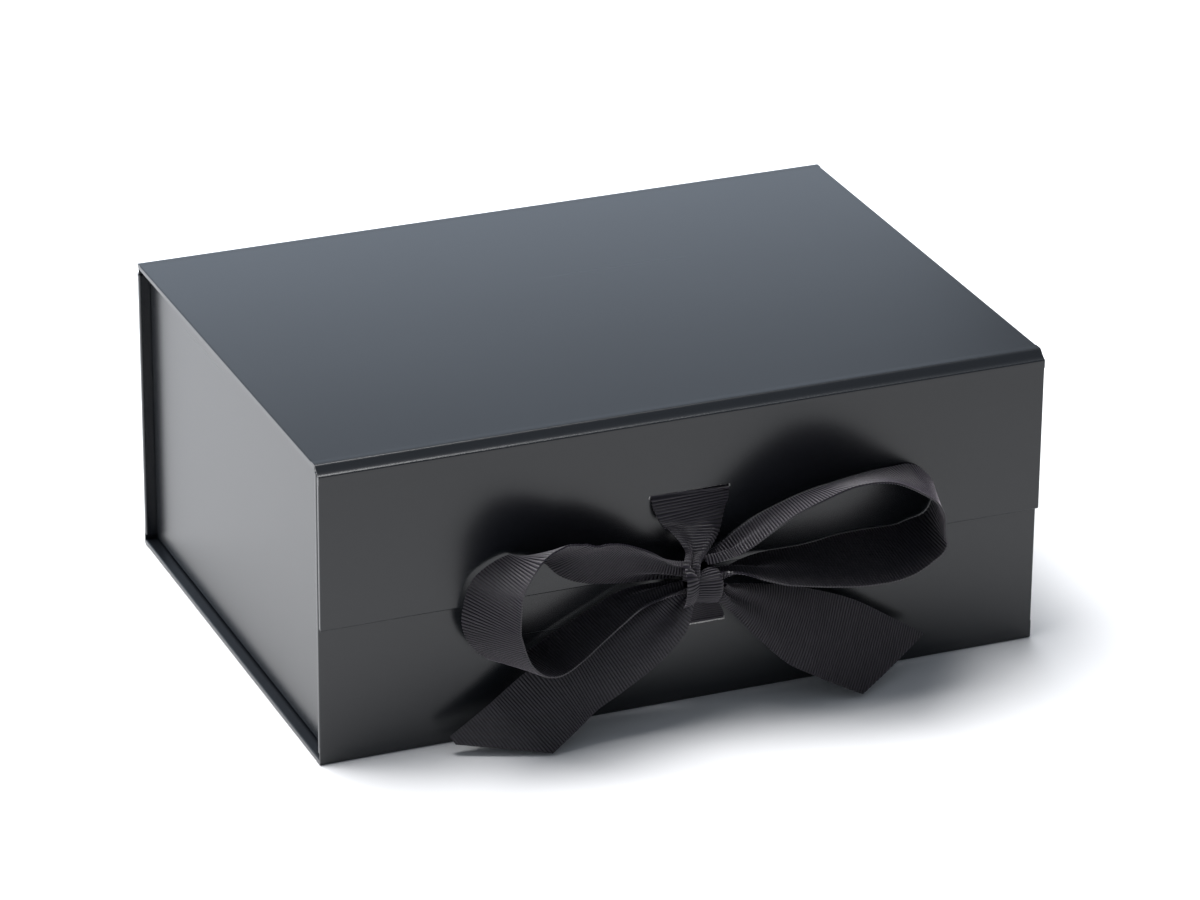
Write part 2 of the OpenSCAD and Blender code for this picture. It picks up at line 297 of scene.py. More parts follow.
def ribbon_material():
    """Black grosgrain: the ribs are in the mesh, and the warp threads over them are bump.

    The grooves between the ribs are rougher and painted darker as painted shade, and the ribs have a
    sheen.
    """
    material, shader = new_material("grosgrain")
    links = material.node_tree.links
    along = add_node(material, "ShaderNodeTexCoord").outputs["UV"]
    warp = wave(material, along, "X", WARP_PITCH)
    grooves = wave(material, along, "Y", RIB_PITCH)
    fuzz = noise(material, along, 5200, 2.0)
    clouds = noise(material, along, 220, 2.0)
    tone = spread(material, add_up(material, fuzz, clouds), 0, 1, 0.7, 1.3)
    yarn = blend_colours(material, tone, (0.011, 0.0085, 0.0135), (0.0175, 0.014, 0.021))
    # Painted shade: the colour darkens towards the middle of each groove between the ribs
    depth = spread(material, grooves, 0, 1, 0.35, 1)
    colour = blend_colours(material, depth, yarn, (0.0035, 0.0028, 0.0042))
    links.new(colour, shader.inputs["Base Color"])
    links.new(spread(material, grooves, 0.38, 0.6, 0.2, 1), shader.inputs["Roughness"])
    links.new(spread(material, grooves, 0.7, 0.03, 0.25, 0.8), shader.inputs["Sheen Weight"])
    tangent = add_node(material, "ShaderNodeTangent", direction_type="UV_MAP", uv_map=RIBBON_UV)
    links.new(tangent.outputs["Tangent"], shader.inputs["Tangent"])
    shader.inputs["Anisotropic"].default_value = 1
    shader.inputs["Specular IOR Level"].default_value = 0.5
    shader.inputs["Sheen Roughness"].default_value = 0.3
    shader.inputs["Sheen Tint"].default_value = (0.92, 0.84, 0.92, 1)
    add_bump(material, shader, warp, 0.03 * MM, 0.35)
    return material


BOARD = board_material()
CORE = core_material()
TAPE = tape_material()
MAGNET = magnet_material()
RIBBON = ribbon_material()


# ---------------------------------------------------------------- mesh helpers


def make_object(name, mesh, body, slot, *materials):
    """A new object in the scene; body None leaves it without a body."""
    obj = bpy.data.objects.new(name, mesh)
    bpy.context.scene.collection.objects.link(obj)
    for material in materials:
        mesh.materials.append(material)
    if body:
        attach(obj, body)
    return obj


def weighted_normals(obj):
    """Smooth edges whose normals follow the large faces beside them."""
    for polygon in obj.data.polygons:
        polygon.use_smooth = True
    modifier = obj.modifiers.new("face_normals", "WEIGHTED_NORMAL")
    modifier.weight = 100


def add_box(bm, low, high):
    """Adds a closed box to a bmesh."""
    made = bmesh.ops.create_cube(bm, size=1.0)
    centre = (low + high) / 2
    size = high - low
    place = Matrix.Translation(centre) @ Matrix.Diagonal((*size, 1))
    bmesh.ops.transform(bm, matrix=place, verts=made["verts"])


def rounded_box(low, high, radius, segments=3):
    """A closed box with rounded edges and corners."""
    bm = bmesh.new()
    add_box(bm, low, high)
    bmesh.ops.bevel(
        bm,
        geom=bm.edges[:],
        offset=radius,
        segments=segments,
        profile=0.5,
        affect="EDGES",
    )
    return bm


def cut_hole(bm, hole_low, hole_high):
    """Opens a hole along Y through both faces of a plate."""
    for axis, value in ((0, hole_low.x), (0, hole_high.x), (2, hole_low.z), (2, hole_high.z)):
        normal = Vector((0, 0, 0))
        normal[axis] = 1
        point = normal * value
        geometry = bm.verts[:] + bm.edges[:] + bm.faces[:]
        bmesh.ops.bisect_plane(bm, geom=geometry, plane_co=point, plane_no=normal)
    inside = [
        face
        for face in bm.faces
        if hole_low.x < face.calc_center_median().x < hole_high.x
        and hole_low.z < face.calc_center_median().z < hole_high.z
    ]
    bmesh.ops.delete(bm, geom=inside, context="FACES")


def join_hole_rims(bm):
    """Joins the paper's outer and inner skin around each end of a hole."""
    rims = [edge for edge in bm.edges if edge.is_boundary]
    middle = sum((v.co.y for edge in rims for v in edge.verts)) / (2 * len(rims))
    for side in (-1, 1):
        chosen = [edge for edge in rims if side * (edge.verts[0].co.y - middle) > 0]
        bmesh.ops.bridge_loops(bm, edges=chosen)


def cover_mesh(name, low, high, hole=None):
    """Paper around a board: a rounded outside, a sharp inside, and a hole through it if asked."""
    bm = rounded_box(low, high, EDGE_R)
    inner = bmesh.new()
    paper_t = Vector((PAPER_T,) * 3)
    add_box(inner, low + paper_t, high - paper_t)
    bmesh.ops.reverse_faces(inner, faces=inner.faces[:])
    if hole:
        cut_hole(bm, *hole)
        cut_hole(inner, *hole)
    inner_mesh = bpy.data.meshes.new(name + "_inner")
    inner.to_mesh(inner_mesh)
    inner.free()
    bm.from_mesh(inner_mesh)
    bpy.data.meshes.remove(inner_mesh)
    if hole:
        join_hole_rims(bm)
    mesh = bpy.data.meshes.new(name)
    bm.to_mesh(mesh)
    bm.free()
    return mesh


def cover(name, node, body, material, hole=None):
    """The covering paper of one board, in place of its plain CAD solid."""
    low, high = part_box(node)
    obj = make_object(name, cover_mesh(name, low, high, hole), body, "wrap", material)
    weighted_normals(obj)
    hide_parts(node)


def lining(name, node, body, axis, inward, half_width=None):
    """A lining sheet, standing a little proud of the paper turned in around it.

    inward is the direction along axis in which it faces; half_width narrows it where that is given.
    """
    low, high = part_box(node)
    if inward > 0:
        high[axis] += LINER_PROUD
    else:
        low[axis] -= LINER_PROUD
    if half_width:
        low.x, high.x = -half_width, half_width
    bm = rounded_box(low, high, LINER_R, 2)
    mesh = bpy.data.meshes.new(name)
    bm.to_mesh(mesh)
    bm.free()
    obj = make_object(name, mesh, body, "liner", LINER)
    weighted_normals(obj)
    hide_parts(node)


def smooth_line(points, steps):
    """A Catmull-Rom curve through points, with steps stretches between two of them."""
    points = np.array(points, float)
    ahead = np.vstack([2 * points[0] - points[1], points, 2 * points[-1] - points[-2]])
    parts = []
    t = np.linspace(0, 1, steps, endpoint=False)[:, None]
    for i in range(len(points) - 1):
        a, b, c, d = ahead[i : i + 4]
        parts.append(
            (
                2 * b
                + (c - a) * t
                + (2 * a - 5 * b + 4 * c - d) * t**2
                + (3 * b - a - 3 * c + d) * t**3
            )
            / 2
        )
    return np.vstack([*parts, points[-1:]])


def strip_mesh(name, profile, ends, thickness, along=0):
    """A closed sheet: a bent line thickened to its left and run along one axis between two ends."""
    profile = np.array(profile, float)
    tangent = np.gradient(profile, axis=0)
    tangent /= np.linalg.norm(tangent, axis=1)[:, None]
    inner = profile + thickness * np.stack([-tangent[:, 1], tangent[:, 0]], 1)
    loop = np.vstack([profile, inner[::-1]])
    verts = [np.insert(point, along, end).tolist() for end in ends for point in loop]
    n = len(loop)
    faces = [(i, (i + 1) % n, n + (i + 1) % n, n + i) for i in range(n)]
    for offset in (0, n):
        for i in range(n // 2 - 1):
            faces.append((offset + i, offset + n - 1 - i, offset + n - 2 - i, offset + i + 1))
    mesh = bpy.data.meshes.new(name)
    mesh.from_pydata(verts, [], faces)
    face_outward(mesh)
    return mesh


def face_outward(mesh):
    """Turns every face of a closed mesh outward."""
    bm = bmesh.new()
    bm.from_mesh(mesh)
    bmesh.ops.recalc_face_normals(bm, faces=bm.faces[:])
    bm.to_mesh(mesh)
    bm.free()


def smooth_by_angle(obj, degrees=40):
    """Smooth faces, with the edges sharper than an angle kept sharp."""
    obj.data.polygons.foreach_set("use_smooth", [True] * len(obj.data.polygons))
    obj.data.set_sharp_from_angle(angle=math.radians(degrees))


# ---------------------------------------------------------------- box


def slit_hole(z, low, high):
    """Corners of the hole that a ribbon's slit makes in a wall."""
    half = Vector((SLIT_W / 2, 0, SLIT_H / 2))
    centre = Vector((0, 0, z))
    first, last = centre - half, centre + half
    return Vector((first.x, low.y, first.z)), Vector((last.x, high.y, last.z))


UPPER_SLIT_Z = 70.5 * MM
LOWER_SLIT_Z = 26 * MM
UPPER_SLIT = slit_hole(UPPER_SLIT_Z, FLAP_LOW, FLAP_HIGH)
LOWER_SLIT = slit_hole(LOWER_SLIT_Z, FRONT_LOW, FRONT_HIGH)

cover("base_cover", "base_wrap", "tray", WRAP)
cover("rear_cover", "rear_wall_wrap", "tray", WRAP)
cover("front_cover", "front_wall_wrap", "tray", WRAP, LOWER_SLIT)
cover("lid_cover", "lid_wrap", "lid", WRAP)
cover("flap_cover", "flap_wrap", "flap", WRAP, UPPER_SLIT)
for side, inward in (("left", 1), ("right", -1)):
    cover(f"{side}_cover", f"{side}_wall_wrap", f"{side}_wall", SIDE_WRAP)
    lining(f"{side}_lining", f"{side}_wall_liner", f"{side}_wall", 0, inward)
# The tray's linings end at the side walls
lining("floor_lining", "floor_liner", "tray", 2, 1, WALL_X)
lining("rear_lining", "rear_wall_liner", "tray", 1, -1, WALL_X)
lining("front_lining", "front_wall_liner", "tray", 1, 1, WALL_X)
lining("lid_lining", "lid_liner", "lid", 2, -1)
lining("flap_lining", "flap_liner", "flap", 1, 1)


def folded_paper(name, node, profile, ends, thickness, slot, material, along=0):
    """A sheet of paper bent over a fold, in place of a plain CAD strip; it has no body yet."""
    mesh = strip_mesh(name, profile, ends, thickness, along)
    obj = make_object(name, mesh, None, slot, material)
    smooth_by_angle(obj)
    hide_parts(node)
    return obj


def corner_fold(name, node, bodies, outline, out_y, side, z_face, up, thickness=FOLD_T, bend=()):
    """The covering paper over one long corner of the box, on one body or, where it spans two, left
    without a body.

    outline gives millimetres in from the upright face out_y and back from the flat face z_face.
    bend, the millimetres back from the flat face where the paper would turn, only leaves it without a
    body here.
    """
    points = [(out_y - side * depth * MM, z_face - up * back * MM) for depth, back in outline]
    low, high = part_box(node)
    ends = (low.x + FOLD_MARGIN, high.x - FOLD_MARGIN)
    profile = smooth_line(points, FOLD_STEPS)
    obj = folded_paper(name, node, profile, ends, -side * up * thickness, "wrap", WRAP)
    if bend:
        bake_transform(obj)
    else:
        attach(obj, *bodies)


# Over the lid's edge, slanting down to the flap's upper edge, and out over the flap
FLAP_OUTLINE = [
    (6.4, 0.01), (5.2, -0.012), (3.75, -0.012), (3.35, 0.06), (2.95, 0.3), (2.4, 0.82), (1.8, 1.38),
    (1.2, 1.9), (0.75, 2.2), (0.42, 2.36), (0.16, 2.48), (0.02, 2.7), (-0.012, 3.2), (-0.012, 4.2),
    (0.01, 5.2),
]
# Over the lid's edge, into the groove pressed behind it, and out over the rear wall
HINGE_OUTLINE = [
    (3.2, 0.01), (2.2, -0.012), (0.95, -0.012), (0.5, 0.04), (0.32, 0.2), (0.42, 0.5), (0.75, 0.9),
    (1.05, 1.4), (1.2, 2), (1.2, 2.6), (1.1, 2.95), (0.75, 3.12), (0.4, 3.18), (0.12, 3.32),
    (0, 3.6), (-0.012, 4.2), (-0.012, 5), (0.01, 6),
]
# Round the base board's edge and almost straight up onto the wall
BASE_OUTLINE = [
    (3.2, 0.01), (2.2, 0), (1.1, 0), (0.6, 0.06), (0.22, 0.3), (0.04, 0.75), (0, 1.3), (0.02, 2),
    (0.04, 2.6), (0.02, 3.1), (0, 3.6), (-0.012, 4.2), (-0.012, 5), (0.01, 6),
]
corner_fold(
    "flap_corner", "flap_fold", ("lid", "flap"), FLAP_OUTLINE, FLAP_Y, -1, LID_Z, 1,
    FLAP_FOLD_T, (0.8, 1.8)
)
corner_fold(
    "lid_corner", "lid_fold", ("lid", "tray"), HINGE_OUTLINE, REAR_Y, 1, LID_Z, 1,
    bend=(0.52, 1.3)
)
corner_fold(
    "front_base_corner", "front_base_fold", ("tray",), BASE_OUTLINE, FRONT_Y, -1, BASE_Z, -1
)
corner_fold(
    "rear_base_corner", "rear_base_fold", ("tray",), BASE_OUTLINE, REAR_Y, 1, BASE_Z, -1
)


def from_wall(points, sign, toward=1):
    """A smooth line through points given in millimetres: in from a side wall, and along Y or Z."""
    points = [(sign * (WALL_X - inward * MM), toward * other * MM) for inward, other in points]
    return smooth_line(points, FOLD_STEPS)


def wall_hinge(side, sign):
    """The lining strip glued to the floor and up a side wall, bending where the wall folds in."""
    profile = from_wall(
        [(12.2, 1.95), (7.7, 1.97), (2.8, 1.97), (1.5, 2.02), (0.75, 2.3), (0.35, 2.85), (0.25, 3.6),
         (0.25, 6), (0.25, 10), (0.23, 14)],
        sign,
    )
    low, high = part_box(f"{side}_wall_hinge")
    ends = (low.y, high.y)
    obj = folded_paper(
        f"{side}_hinge_strip", f"{side}_wall_hinge", profile, ends, -sign * PAPER_T,
        "liner", LINER, 1
    )
    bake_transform(obj)


def wall_tab(side, sign, end_name, toward):
    """A glue tab: stuck to the side wall's inside, bent round its end, with both corners cut off."""
    node = f"{side}_{end_name}_tab"
    low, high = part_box(node)
    profile = from_wall(
        [(0.15, 73.4), (0.13, 76), (0.13, 78.9), (0.2, 79.6), (0.5, 80.1), (1.1, 80.34), (2.1, 80.38),
         (8.7, 80.38), (14.98, 80.38)],
        sign,
        toward,
    )
    obj = folded_paper(
        f"{node}_paper", node, profile, (low.z, high.z), sign * toward * TAB_T, "wrap", WRAP, 2
    )
    middle = (low.z + high.z) / 2
    outer_x = high.x if sign > 0 else -low.x
    for vertex in obj.data.vertices:
        slope = max(0, outer_x - TAB_CUT - abs(vertex.co.x))
        vertex.co.z += math.copysign(slope, middle - vertex.co.z)
    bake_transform(obj)


for side, sign in (("left", -1), ("right", 1)):
    wall_hinge(side, sign)
    wall_tab(side, sign, "front", -1)
    wall_tab(side, sign, "rear", 1)


# ---------------------------------------------------------------- ribbon


def in_front(points):
    """Points given as [across, out from the flap, up] in millimetres, in the scene's frame."""
    points = np.array(points, float) * MM
    return np.stack([points[:, 0], FLAP_Y - points[:, 1], points[:, 2]], 1)


def even_rows(near, far, step):
    """Both edges of a ribbon at even steps along its middle, and how far along each step is."""
    middle = (near + far) / 2
    pieces = np.linalg.norm(np.diff(middle, axis=0), axis=1)
    run = np.concatenate([[0], np.cumsum(pieces)])
    count = max(2, int(round(run[-1] / step)))
    wanted = np.linspace(0, run[-1], count + 1)

    def pick(line):
        return np.stack([np.interp(wanted, run, line[:, k]) for k in range(3)], 1)

    return pick(near), pick(far), wanted


def along_row(values, run):
    """Values given at even shares of a ribbon's length, at each of its rows."""
    values = np.array(values, float)
    shares = np.linspace(0, 1, len(values))
    curve = smooth_line(np.stack([shares, values], 1), VALUE_STEPS)
    return np.interp(run / run[-1], curve[:, 0], curve[:, 1])


def section(run, folds):
    """How far each point of a ribbon stands out from the straight line between its edges.

    folds gives the heights of one half wave across the ribbon, of two, and so on, in millimetres.
    Each list runs evenly from the ribbon's start to its end.
    """
    share = np.linspace(0, 1, RIBBON_COLUMNS)[None]
    out = np.zeros((len(run), RIBBON_COLUMNS))
    for waves, heights in enumerate(folds, 1):
        out += along_row(heights, run)[:, None] * MM * np.sin(math.pi * waves * share)
    return out


def grid_normals(grid):
    """Unit normals of a grid of points."""
    down = np.gradient(grid, axis=0)
    across = np.gradient(grid, axis=1)
    normal = np.cross(down, across)
    return normal / np.maximum(np.linalg.norm(normal, axis=2, keepdims=True), 1e-12)


def tucked(share, tuck):
    """Places across and depths behind of a ribbon's columns, with both margins folded behind it."""
    span = 1 - 2 * tuck
    across = np.where(share < tuck, tuck - share, share - tuck) / span
    across = np.where(share > 1 - tuck, (2 - 3 * tuck - share) / span, across)
    beyond = np.maximum(tuck - share, share - 1 + tuck)
    return across, -np.clip(beyond / TUCK_REACH, 0, 1) * TUCK_DEPTH


def ribbon_grid(near, far, folds, lean=1, tuck=0.0):
    """Rows of points on a ribbon's middle surface, and how far along the ribbon each row is."""
    near = smooth_line(in_front(near), EDGE_STEPS)
    far = smooth_line(in_front(far), EDGE_STEPS)
    near, far, run = even_rows(near, far, RIB_PITCH / RIB_STEPS)
    middle = (near + far) / 2
    tangent = np.gradient(middle, axis=0)
    tangent /= np.linalg.norm(tangent, axis=1)[:, None]
    side = far - near
    side -= (side * tangent).sum(1)[:, None] * tangent
    outward = np.cross(tangent, side) * lean
    outward /= np.linalg.norm(outward, axis=1)[:, None]
    across, behind = tucked(np.linspace(0, 1, RIBBON_COLUMNS), tuck)
    out = section(run, folds) + behind[None]
    flat = middle[:, None] + (across[None, :, None] - 0.5) * side[:, None]
    return flat + out[..., None] * outward[:, None], run


def shell_faces(rows, columns):
    """Faces of a closed shell: a top grid of points, a bottom one after it, and the rim between."""
    shift = rows * columns
    index = np.arange(shift).reshape(rows, columns)
    a, b = index[:-1, :-1].ravel(), index[:-1, 1:].ravel()
    c, d = index[1:, 1:].ravel(), index[1:, :-1].ravel()
    top = np.stack([a, b, c, d], 1)
    bottom = np.stack([a, d, c, b], 1) + shift
    rim = np.concatenate([index[:, 0], index[-1, 1:], index[-2::-1, -1], index[0, -2:0:-1]])
    following = np.roll(rim, -1)
    sides = np.stack([rim, following, following + shift, rim + shift], 1)
    return np.vstack([top, bottom, sides])


def lay_along(mesh, run, columns):
    """A UV map in metres across and along a ribbon, the same on its top and bottom."""
    place = np.zeros((len(run), columns, 2))
    place[..., 0] = np.linspace(0, RIBBON_W, columns)[None]
    place[..., 1] = run[:, None]
    place = np.vstack([place.reshape(-1, 2)] * 2)
    layer = mesh.uv_layers.new(name=RIBBON_UV)
    corners = np.zeros(len(mesh.loops), int)
    mesh.loops.foreach_get("vertex_index", corners)
    layer.data.foreach_set("uv", place[corners].ravel())


def ribbon_mesh(name, grid, run):
    """A closed, ribbed ribbon of real thickness around its middle surface."""
    rows, columns = grid.shape[:2]
    normal = grid_normals(grid)
    rib = np.abs(np.cos(math.pi * run / RIB_PITCH)) ** RIB_ROUNDNESS
    half = (RIBBON_HALF_T + RIB_HEIGHT * rib)[:, None, None]
    top = grid + normal * half
    bottom = grid - normal * half
    verts = np.vstack([top.reshape(-1, 3), bottom.reshape(-1, 3)])
    mesh = bpy.data.meshes.new(name)
    mesh.from_pydata(verts.tolist(), [], shell_faces(rows, columns).tolist())
    lay_along(mesh, run, columns)
    mesh.update()
    return mesh


def cut_end(mesh, first, second, outward, keep):
    """Cuts a ribbon's end off along a line between two points, on the side away from keep."""
    normal = (second - first).cross(outward).normalized()
    if (keep - first).dot(normal) > 0:
        normal.negate()
    bm = bmesh.new()
    bm.from_mesh(mesh)
    geometry = bm.verts[:] + bm.edges[:] + bm.faces[:]
    bmesh.ops.bisect_plane(
        bm, geom=geometry, dist=1e-7, plane_co=first, plane_no=normal, clear_outer=True
    )
    bmesh.ops.holes_fill(bm, edges=[edge for edge in bm.edges if edge.is_boundary])
    bm.to_mesh(mesh)
    bm.free()


def ribbon(name, node, body, near, far, folds, lean=1, cut=None, tuck=0.0):
    """One stretch of the ribbon between its two edges, cut across between two points if asked.

    lean is 1 or -1, for the side to which its folds stand out. tuck is the share of its width that
    is folded behind at each edge.
    """
    grid, run = ribbon_grid(near, far, folds, lean, tuck)
    mesh = ribbon_mesh(name, grid, run)
    length = float(run[-1])
    if cut:
        column = RIBBON_COLUMNS // 2
        first, second = (Vector(point) for point in in_front(cut))
        outward = Vector(grid_normals(grid)[-1, column])
        cut_end(mesh, first, second, outward, Vector(grid[0, column]))
        length -= (Vector(grid[-1, column]) - (first + second) / 2).length
    mesh.polygons.foreach_set("use_smooth", [True] * len(mesh.polygons))
    mesh.set_sharp_from_angle(angle=math.radians(60))
    obj = make_object(name, mesh, body, "ribbon", RIBBON)
    if node:
        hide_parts(node)


# Both edges of the loops and tails, as points for in_front(). A loop starts and ends in the knot,
# and a tail runs from the knot to its cut end.
RIGHT_LOOP_NEAR = [
    [1, 11, 51], [4.5, 12.8, 52], [8.5, 15, 54], [12.5, 17, 57], [19, 19, 62.3], [26, 20.5, 67.3],
    [34, 22.5, 71.5], [44, 24, 75], [55.5, 24, 74], [66, 24, 68.5], [71.5, 24, 63.5],
    [73.2, 24, 57], [71.5, 24, 48.5], [66, 24, 44.5], [58, 24, 41.8], [48, 24, 41.6],
    [38.5, 23, 42.6], [30, 22, 43.8], [23.5, 21, 45], [15.8, 19, 47.2], [10.4, 16, 49],
    [5, 13, 49], [0, 10.5, 48],
]
RIGHT_LOOP_FAR = [
    [2, 6.5, 50.6], [6, 4.5, 50.6], [11.2, 1.6, 52.2], [16, 0.8, 55.6], [22, 0.6, 58.8],
    [29, 0.5, 61.3], [37.4, 0.5, 63.8], [46, 0.5, 65.4], [55.5, 0.5, 66.7], [65, 0.5, 67.6],
    [73, 0.5, 67.2], [79.5, 0.6, 61], [79.3, 0.6, 54], [73, 0.5, 49.8], [64, 0.5, 48.4],
    [50, 0.5, 48], [38, 0.5, 46.8], [30, 0.5, 46.7], [22.5, 0.8, 46.9], [16, 2.5, 46.7],
    [10, 5, 46.5], [5, 6.5, 46.2], [1, 7.5, 46],
]
LEFT_LOOP_NEAR = [
    [-2, 11, 50.5], [-6, 12.5, 51.8], [-12, 13.3, 55], [-19.5, 14.2, 60.2], [-28, 15.5, 64.6],
    [-36, 17, 67.3], [-43, 18, 69], [-48.5, 19.5, 69.2], [-54, 22, 67], [-60.5, 23.5, 58.5],
    [-63, 24, 49], [-62.3, 24, 41], [-59.6, 23, 34], [-54.75, 21, 28.8], [-47.5, 18, 26.6],
    [-39.6, 15.5, 29], [-32.8, 14, 33], [-26.1, 13, 37.2], [-20.3, 12.5, 40.8], [-12.5, 12, 43.1],
    [-5.6, 11, 44.5], [-1, 10.5, 45.5],
]
LEFT_LOOP_FAR = [
    [-2, 7, 47.5], [-6, 5.5, 46], [-14, 2.5, 44.9], [-22.6, 0.9, 44.7], [-32.9, 0.8, 46.5],
    [-39.7, 0.8, 49.8], [-44, 0.9, 54.5], [-50, 1, 57.8], [-60, 1.5, 58.6], [-70, 2, 52.5],
    [-73, 2, 42], [-71, 2, 34], [-65, 1.5, 27.5], [-58, 0.6, 26], [-51.5, 0.4, 27.4],
    [-44.7, 0.4, 31], [-37.3, 0.4, 34.6], [-30, 0.4, 38.1], [-22.3, 0.6, 41.8], [-14, 2.5, 43.6],
    [-6, 5.5, 44.5], [-1, 7.5, 45],
]
LEFT_TAIL_LOW = [
    [-3, 11, 41], [-4.5, 13, 37], [-7, 14.5, 31], [-13, 15, 25], [-25, 15.5, 17.5],
    [-36.5, 16, 10.5], [-50, 17, 1], [-61, 17.5, -7],
]
LEFT_TAIL_HIGH = [
    [-5, 8, 42], [-9, 7, 42], [-17, 6, 39], [-28, 6, 34.5], [-40, 6, 28.5],
    [-53.5, 5, 23], [-68.5, 5, 12.5], [-84, 5, 2],
]
RIGHT_TAIL_LOW = [
    [4, 11, 41], [6, 11, 37.5], [10, 11, 33], [17, 12.5, 24.5], [26.5, 14, 15],
    [36, 15, 9.3], [51, 17, 1.8], [62, 18, -4],
]
RIGHT_TAIL_HIGH = [
    [7, 9, 43], [10, 8, 41.5], [16, 6, 39.5], [28, 5, 36.5], [42, 5, 32],
    [55.5, 5, 26], [71.5, 5, 15.5], [85, 5, 6.5],
]
ribbon(
    "bow_right_loop", "right_loop", "flap", RIGHT_LOOP_NEAR, RIGHT_LOOP_FAR,
    ([1, 0.9, 0.4, 0.2, 0, 0, 0, 0, 0, 0, 0, 0, 0, 0.2, 0.8],
     [0, 0, 0, 0, 0, 0, 0, 0, 0, 0, 0, -0.2, -0.9, -1.2, -0.6],
     [2.2, 0.9, 0.1, 0, 0, 0, 0, 0, 0, 0, 0, 0, 0.3, 1.0, 2]),
)
ribbon(
    "bow_left_loop", "left_loop", "flap", LEFT_LOOP_NEAR, LEFT_LOOP_FAR,
    ([1, 0.9, 0.4, 0.2, 0, 0, 0, 0, 0, 0, 0, 0, 0, 0.3, 0.8],
     [0, 0.3, 0.6, 0.3, 0, 0, 0, 0, 0, 0, 0, 0, 0, 0, 0],
     [2.2, 1, 0.2, 0, 0, 0, 0, 0, 0, 0, 0, 0, 0.2, 1, 2]),
    lean=-1,
)
ribbon(
    "bow_left_tail", "left_tail", "flap", LEFT_TAIL_LOW, LEFT_TAIL_HIGH,
    ([1, 2.5, 2, 1.2, 0.8, 0.5, 0.3], [0] * 7, [2, 0.8, 0.2, 0, 0, 0, 0]),
    lean=-1, cut=([-50, 17, 0.7], [-80, 5, 4]),
)
ribbon(
    "bow_right_tail", "right_tail", "flap", RIGHT_TAIL_LOW, RIGHT_TAIL_HIGH,
    ([1, 2, 1.5, 1, 0.6, 0.4, 0.3], [0] * 7, [2, 0.8, 0.2, 0, 0, 0, 0]),
    cut=([51, 17, 1.8], [76, 5, 11.8]),
)
# From the glued end behind the flap, through its slit, to the knot
ribbon(
    "bow_upper_ribbon", "upper_ribbon", "flap",
    [[-12.5, -1.4, 51], [-12.5, -1.4, 60], [-12.5, -1.4, 68.5], [-12.5, -1.05, 70.2],
     [-12.5, -0.3, 70.55], [-12.5, 0.35, 70.3], [-12.4, 0.7, 69], [-11.8, 2, 66],
     [-8.9, 5, 59.6], [-5.8, 9.5, 54.4], [-7, 12.3, 52], [-7.2, 12.6, 48]],
    [[12.5, -1.4, 51], [12.5, -1.4, 60], [12.5, -1.4, 68.5], [12.5, -1.05, 70.2],
     [12.5, -0.3, 70.55], [12.4, 0.35, 70.3], [12.3, 0.6, 69], [11.8, 1, 66],
     [9, 1.6, 60], [2.5, 6.5, 54.6], [-1.5, 11.8, 51.8], [-1.8, 12.4, 48]],
    ([0, 0, 0, 0, 0, 0, 0.2, 1, 1.6, 0.8, 0.4, 0.4],
     [0, 0, 0, 0, 0, 0, 0, -0.6, -1.2, -0.6, 0.2, 0.2],
     [0, 0, 0, 0, 0, 0, 0, 0.3, 0.8, 1.2, 1, 0.9]),
)
# From the glued end behind the front wall, through its slit, up to the knot
ribbon(
    "bow_lower_ribbon", "lower_ribbon", "tray",
    [[-12.5, -3.55, 45], [-12.5, -3.55, 36], [-12.5, -3.55, 28], [-12.5, -3.2, 26.3],
     [-12.5, -2.4, 26], [-12.45, -1.75, 26.3], [-12.2, -1.3, 28], [-10.5, 0.3, 31.5],
     [-8, 2.5, 35.5], [-5.5, 5, 38.8]],
    [[12.5, -3.55, 45], [12.5, -3.55, 36], [12.5, -3.55, 28], [12.5, -3.2, 26.3],
     [12.5, -2.4, 26], [12.45, -1.75, 26.3], [12.2, -1.3, 28], [10.5, 0.3, 31.5],
     [8, 2.5, 35.5], [5.5, 5, 38.8]],
    ([0, 0, 0, 0, 0, 0, 0.3, 0.8, 1], [0] * 9, [0, 0, 0, 0, 0, 0, 0.4, 1, 1.6]),
)
# Over the knot from top to bottom, behind it at both ends
ribbon(
    "bow_knot_band", None, "flap",
    [[-6.4, 8, 50], [-7, 11, 50.4], [-7.4, 13.2, 49.6], [-7.5, 14.3, 47], [-7.4, 14.1, 43.5],
     [-7.3, 12.8, 40.4], [-6.6, 9.5, 39], [-5.6, 7, 40]],
    [[3.4, 8, 48.8], [4.2, 11, 49.2], [4.8, 13.4, 48.2], [5, 14.6, 45.8], [5, 14.3, 42.6],
     [4.8, 12.8, 39.8], [4.4, 9.5, 38.6], [3.6, 7, 40]],
    ([0.3, 0.4, 0.4, 0.4, 0.3, 0.3, 0.3], [0.5, 0.5, 0.5, 0.4, 0.3, 0.2, 0.1],
     [0.6, 1, 1, 0.9, 0.6, 0.4, 0.2], [0.5, 0.8, 0.8, 0.6, 0.4, 0.2, 0.1]),
    tuck=0.22,
)


KNOT_CENTRE = [0, 9.2, 45.7]
KNOT_HALF = (5.6 * MM, 3.6 * MM, 5.4 * MM)


